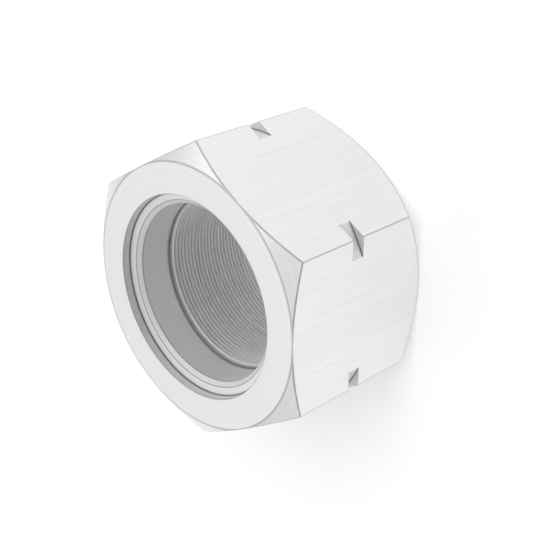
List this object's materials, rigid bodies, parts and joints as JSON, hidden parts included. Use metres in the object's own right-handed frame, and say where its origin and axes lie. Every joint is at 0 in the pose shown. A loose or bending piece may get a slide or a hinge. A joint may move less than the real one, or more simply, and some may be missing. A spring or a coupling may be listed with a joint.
{
  "type": "propeller nut",
  "caption": "Hexagon nut with turned chamfers, a groove across the corners that marks a left-hand thread, and a bore stepped from a wide mouth through a recess to the thread.",
  "frame": {"origin": "centre of the bore on the plane of the back end face, which the nut stands on", "axes": "+Z along the bore towards the open mouth; two corners of the hexagon point along Y and two flats face along X"},
  "size_m": [0.03, 0.0346, 0.02],
  "materials": {
    "steel": "bright satin stainless steel, turned end faces and bore, drawn flats"
  },
  "bodies": {
    "root": {"nut": "steel"}
  },
  "joints": []
}
